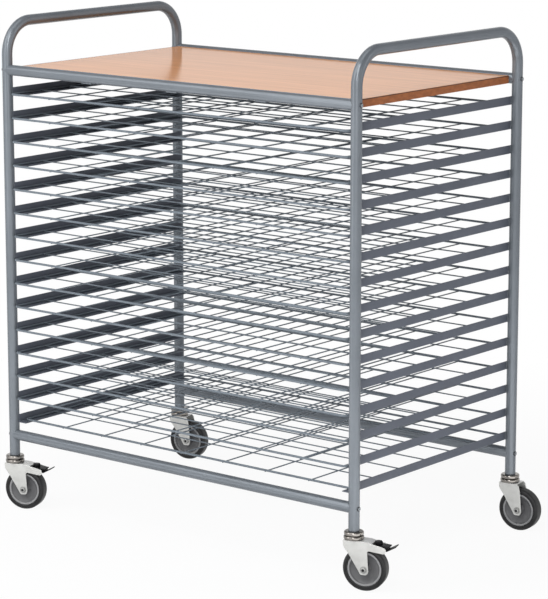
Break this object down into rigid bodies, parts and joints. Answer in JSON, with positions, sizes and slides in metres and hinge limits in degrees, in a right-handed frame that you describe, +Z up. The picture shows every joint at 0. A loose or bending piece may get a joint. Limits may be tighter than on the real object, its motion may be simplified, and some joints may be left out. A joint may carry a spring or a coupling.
{
  "type": "art drying rack",
  "caption": "Mobile drying rack for art work: bent-tube end frames with push handles, angle runners, sliding wire shelves, laminated top board and swivel casters with brakes.",
  "frame": {"origin": "centre of the bounding box on the floor", "axes": "+Z up, +X along the long front side to the right, +Y to the back"},
  "size_m": [1.1526, 0.6632, 1.1883],
  "materials": {
    "frame_paint": "semi-gloss blue-grey powder coat",
    "wire_paint": "grey coated wire",
    "board_laminate": "glossy wood-tone laminate on particle board",
    "board_edge": "brown edge band",
    "bolt_steel": "zinc-plated steel",
    "caster_zinc": "bright zinc-plated pressed steel",
    "caster_race": "polished",
    "wheel_hub": "moulded grey plastic",
    "wheel_tyre": "grey rubber",
    "brake_black": "black plastic"
  },
  "bodies": {
    "rack_frame": {"left_end_frame": "frame_paint", "right_end_frame": "frame_paint", "front_top_rail": "frame_paint", "back_top_rail": "frame_paint", "front_bottom_rail": "frame_paint", "back_bottom_rail": "frame_paint", "top_board": "board_laminate", "left_edge_band": "board_edge", "right_edge_band": "board_edge", "top_bolt_front_left": "bolt_steel", "bottom_bolt_front_left": "bolt_steel", "top_bolt_back_left": "bolt_steel", "bottom_bolt_back_left": "bolt_steel", "top_bolt_front_right": "bolt_steel", "bottom_bolt_front_right": "bolt_steel", "top_bolt_back_right": "bolt_steel", "bottom_bolt_back_right": "bolt_steel", "caster_stem_front_left": "caster_race", "caster_stem_front_right": "caster_race", "caster_stem_back_left": "caster_race", "caster_stem_back_right": "caster_race"},
    "shelf_01_body": {"shelf_01": "wire_paint"},
    "shelf_02_body": {"shelf_02": "wire_paint"},
    "shelf_03_body": {"shelf_03": "wire_paint"},
    "shelf_04_body": {"shelf_04": "wire_paint"},
    "shelf_05_body": {"shelf_05": "wire_paint"},
    "shelf_06_body": {"shelf_06": "wire_paint"},
    "shelf_07_body": {"shelf_07": "wire_paint"},
    "shelf_08_body": {"shelf_08": "wire_paint"},
    "shelf_09_body": {"shelf_09": "wire_paint"},
    "shelf_10_body": {"shelf_10": "wire_paint"},
    "shelf_11_body": {"shelf_11": "wire_paint"},
    "shelf_12_body": {"shelf_12": "wire_paint"},
    "shelf_13_body": {"shelf_13": "wire_paint"},
    "shelf_14_body": {"shelf_14": "wire_paint"},
    "shelf_15_body": {"shelf_15": "wire_paint"},
    "caster_front_left": {"caster_fork_front_left": "caster_zinc", "axle_bolt_front_left": "bolt_steel"},
    "wheel_front_left": {"wheel_hub_front_left": "wheel_hub", "wheel_tyre_front_left": "wheel_tyre"},
    "brake_front_left": {"brake_pedal_front_left": "brake_black", "brake_nut_front_left": "brake_black"},
    "caster_front_right": {"caster_fork_front_right": "caster_zinc", "axle_bolt_front_right": "bolt_steel"},
    "wheel_front_right": {"wheel_hub_front_right": "wheel_hub", "wheel_tyre_front_right": "wheel_tyre"},
    "brake_front_right": {"brake_pedal_front_right": "brake_black", "brake_nut_front_right": "brake_black"},
    "caster_back_left": {"caster_fork_back_left": "caster_zinc", "axle_bolt_back_left": "bolt_steel"},
    "wheel_back_left": {"wheel_hub_back_left": "wheel_hub", "wheel_tyre_back_left": "wheel_tyre"},
    "caster_back_right": {"caster_fork_back_right": "caster_zinc", "axle_bolt_back_right": "bolt_steel"},
    "wheel_back_right": {"wheel_hub_back_right": "wheel_hub", "wheel_tyre_back_right": "wheel_tyre"}
  },
  "joints": [
    {"name": "shelf_01_slide", "type": "slide", "parent": "rack_frame", "child": "shelf_01_body", "axis": [0, -1, 0], "range_m": [-0.56, 0.56]},
    {"name": "shelf_02_slide", "type": "slide", "parent": "rack_frame", "child": "shelf_02_body", "axis": [0, -1, 0], "range_m": [-0.56, 0.56]},
    {"name": "shelf_03_slide", "type": "slide", "parent": "rack_frame", "child": "shelf_03_body", "axis": [0, -1, 0], "range_m": [-0.56, 0.56]},
    {"name": "shelf_04_slide", "type": "slide", "parent": "rack_frame", "child": "shelf_04_body", "axis": [0, -1, 0], "range_m": [-0.56, 0.56]},
    {"name": "shelf_05_slide", "type": "slide", "parent": "rack_frame", "child": "shelf_05_body", "axis": [0, -1, 0], "range_m": [-0.56, 0.56]},
    {"name": "shelf_06_slide", "type": "slide", "parent": "rack_frame", "child": "shelf_06_body", "axis": [0, -1, 0], "range_m": [-0.56, 0.56]},
    {"name": "shelf_07_slide", "type": "slide", "parent": "rack_frame", "child": "shelf_07_body", "axis": [0, -1, 0], "range_m": [-0.56, 0.56]},
    {"name": "shelf_08_slide", "type": "slide", "parent": "rack_frame", "child": "shelf_08_body", "axis": [0, -1, 0], "range_m": [-0.56, 0.56]},
    {"name": "shelf_09_slide", "type": "slide", "parent": "rack_frame", "child": "shelf_09_body", "axis": [0, -1, 0], "range_m": [-0.56, 0.56]},
    {"name": "shelf_10_slide", "type": "slide", "parent": "rack_frame", "child": "shelf_10_body", "axis": [0, -1, 0], "range_m": [-0.56, 0.56]},
    {"name": "shelf_11_slide", "type": "slide", "parent": "rack_frame", "child": "shelf_11_body", "axis": [0, -1, 0], "range_m": [-0.56, 0.56]},
    {"name": "shelf_12_slide", "type": "slide", "parent": "rack_frame", "child": "shelf_12_body", "axis": [0, -1, 0], "range_m": [-0.56, 0.56]},
    {"name": "shelf_13_slide", "type": "slide", "parent": "rack_frame", "child": "shelf_13_body", "axis": [0, -1, 0], "range_m": [-0.56, 0.56]},
    {"name": "shelf_14_slide", "type": "slide", "parent": "rack_frame", "child": "shelf_14_body", "axis": [0, -1, 0], "range_m": [-0.56, 0.56]},
    {"name": "shelf_15_slide", "type": "slide", "parent": "rack_frame", "child": "shelf_15_body", "axis": [0, -1, 0], "range_m": [-0.56, 0.56]},
    {"name": "swivel_front_left", "type": "hinge", "parent": "rack_frame", "child": "caster_front_left", "pos_m": [-0.55099, -0.30678, 0.115], "axis": [0, 0, 1], "continuous": true},
    {"name": "roll_front_left", "type": "hinge", "parent": "caster_front_left", "child": "wheel_front_left", "pos_m": [-0.52468, -0.29721, 0.05], "axis": [-0.342, 0.9397, 0], "continuous": true},
    {"name": "brake_front_left_press", "type": "hinge", "parent": "caster_front_left", "child": "brake_front_left", "pos_m": [-0.48897, -0.28421, 0.0995], "axis": [-0.342, 0.9397, 0], "range_deg": [0, 8]},
    {"name": "swivel_front_right", "type": "hinge", "parent": "rack_frame", "child": "caster_front_right", "pos_m": [0.47901, -0.30678, 0.115], "axis": [0, 0, 1], "continuous": true},
    {"name": "roll_front_right", "type": "hinge", "parent": "caster_front_right", "child": "wheel_front_right", "pos_m": [0.50532, -0.29721, 0.05], "axis": [-0.342, 0.9397, 0], "continuous": true},
    {"name": "brake_front_right_press", "type": "hinge", "parent": "caster_front_right", "child": "brake_front_right", "pos_m": [0.54103, -0.28421, 0.0995], "axis": [-0.342, 0.9397, 0], "range_deg": [0, 8]},
    {"name": "swivel_back_left", "type": "hinge", "parent": "rack_frame", "child": "caster_back_left", "pos_m": [-0.55099, 0.29922, 0.115], "axis": [0, 0, 1], "continuous": true},
    {"name": "roll_back_left", "type": "hinge", "parent": "caster_back_left", "child": "wheel_back_left", "pos_m": [-0.52382, 0.30599, 0.05], "axis": [-0.2419, 0.9703, 0], "continuous": true},
    {"name": "swivel_back_right", "type": "hinge", "parent": "rack_frame", "child": "caster_back_right", "pos_m": [0.47901, 0.29922, 0.115], "axis": [0, 0, 1], "continuous": true},
    {"name": "roll_back_right", "type": "hinge", "parent": "caster_back_right", "child": "wheel_back_right", "pos_m": [0.50674, 0.30311, 0.05], "axis": [-0.1392, 0.9903, 0], "continuous": true}
  ]
}
